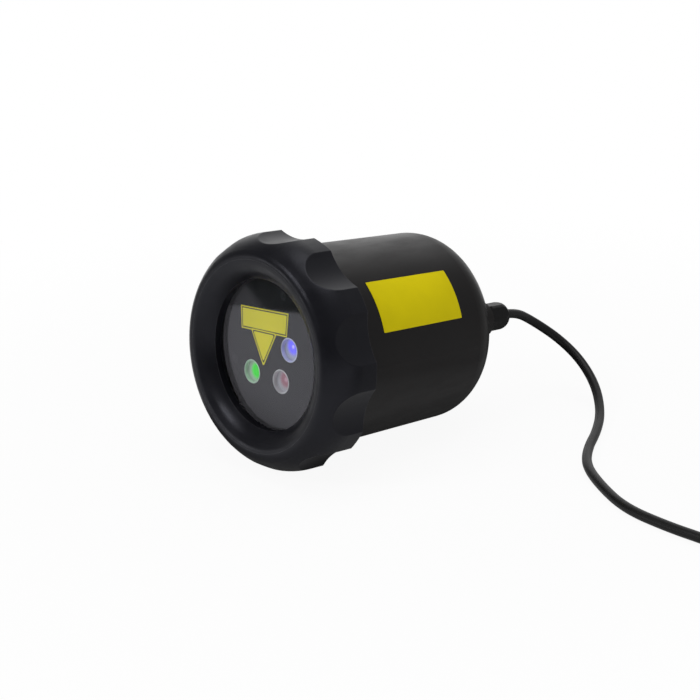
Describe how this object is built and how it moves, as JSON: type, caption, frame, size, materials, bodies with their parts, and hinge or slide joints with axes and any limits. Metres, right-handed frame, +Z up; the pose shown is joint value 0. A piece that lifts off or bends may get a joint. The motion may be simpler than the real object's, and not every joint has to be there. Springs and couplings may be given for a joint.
{
  "type": "laser show projector",
  "caption": "Round black laser show projector lying on its side: scalloped screw-on bezel round a glass window, domed housing, cable gland and supply cord with a plug.",
  "frame": {"origin": "on the floor, under the middle of the projector's box without its cord", "axes": "+Z up, +Y from the window to the rear, +X to the side where the gland sits"},
  "size_m": [0.3354, 0.1969, 0.118],
  "materials": {
    "bezel_black": "satin bluish black paint",
    "housing_black": "satin black paint",
    "window": "polished",
    "black_rubber": "matt",
    "black_plastic": "satin",
    "grey_plate": "matt",
    "bare_aluminium": "machined",
    "brass": "machined",
    "steel": "bright",
    "gear_plastic": "matt",
    "optics": "polished",
    "board": "satin",
    "cord_jacket": "satin"
  },
  "bodies": {
    "housing": {"housing": "housing_black", "mount_insert": "brass", "gland_washer": "black_rubber", "gland_body": "black_plastic", "gland_locknut": "black_plastic", "gland_nut": "black_plastic", "gland_seal": "black_rubber", "aperture_panel": "grey_plate", "panel_screws": "steel", "panel_posts": "bare_aluminium", "heat_sink_block": "bare_aluminium", "block_screws": "steel", "laser_barrel_red": "brass", "laser_barrel_green": "brass", "laser_barrel_blue": "brass", "laser_lens_red": "optics", "laser_lens_green": "optics", "laser_lens_blue": "optics", "laser_diodes": "brass", "motor_body": "steel", "motor_screws": "steel", "driver_board": "board", "board_posts": "bare_aluminium", "board_screws": "steel", "board_components": "black_plastic", "inner_lead": "cord_jacket", "power_cord": "cord_jacket", "cord_coil": "cord_jacket", "coil_tie": "black_plastic", "plug_body": "black_plastic", "plug_pins": "brass"},
    "plug_lock": {"plug_collar": "black_plastic"},
    "window": {"window_glass": "window", "window_gasket": "black_rubber"},
    "bezel": {"bezel_ring": "bezel_black"},
    "drive": {"motor_shaft": "steel", "drive_gear": "gear_plastic"},
    "grating_red": {"grating_gear_red": "gear_plastic", "grating_disc_red": "optics"},
    "grating_green": {"grating_gear_green": "gear_plastic", "grating_disc_green": "optics"},
    "grating_blue": {"grating_gear_blue": "gear_plastic", "grating_disc_blue": "optics"}
  },
  "joints": [
    {"name": "bezel_travel", "type": "slide", "parent": "housing", "child": "window", "axis": [0, -0.9947, 0.1029], "range_m": [0, 0.0106]},
    {"name": "bezel_turn", "type": "hinge", "parent": "window", "child": "bezel", "pos_m": [0, -0.05401, 0.05914], "axis": [0, -0.9947, 0.1029], "range_deg": [0, 1260]},
    {"name": "motor_spin", "type": "hinge", "parent": "housing", "child": "drive", "pos_m": [-0.00457, -0.0587, 0.05955], "axis": [0, -0.9947, 0.1029], "continuous": true},
    {"name": "grating_spin_red", "type": "hinge", "parent": "housing", "child": "grating_red", "pos_m": [0.00647, -0.06004, 0.04656], "axis": [0, -0.9947, 0.1029], "continuous": true},
    {"name": "grating_spin_green", "type": "hinge", "parent": "housing", "child": "grating_green", "pos_m": [-0.01581, -0.06002, 0.04674], "axis": [0, -0.9947, 0.1029], "continuous": true},
    {"name": "grating_spin_blue", "type": "hinge", "parent": "housing", "child": "grating_blue", "pos_m": [0.01199, -0.05826, 0.06381], "axis": [0, -0.9947, 0.1029], "continuous": true},
    {"name": "plug_collar_turn", "type": "hinge", "parent": "housing", "child": "plug_lock", "pos_m": [0.22004, 0.08061, 0.0091], "axis": [-1, 0, 0], "continuous": true}
  ],
  "couplings": [
    {"joint": "bezel_travel", "follows": "bezel_turn", "m_per_rad": 0.00047746},
    {"joint": "grating_spin_red", "follows": "motor_spin", "ratio": -1.1111},
    {"joint": "grating_spin_green", "follows": "motor_spin", "ratio": -1.1111},
    {"joint": "grating_spin_blue", "follows": "motor_spin", "ratio": -1.1111}
  ]
}
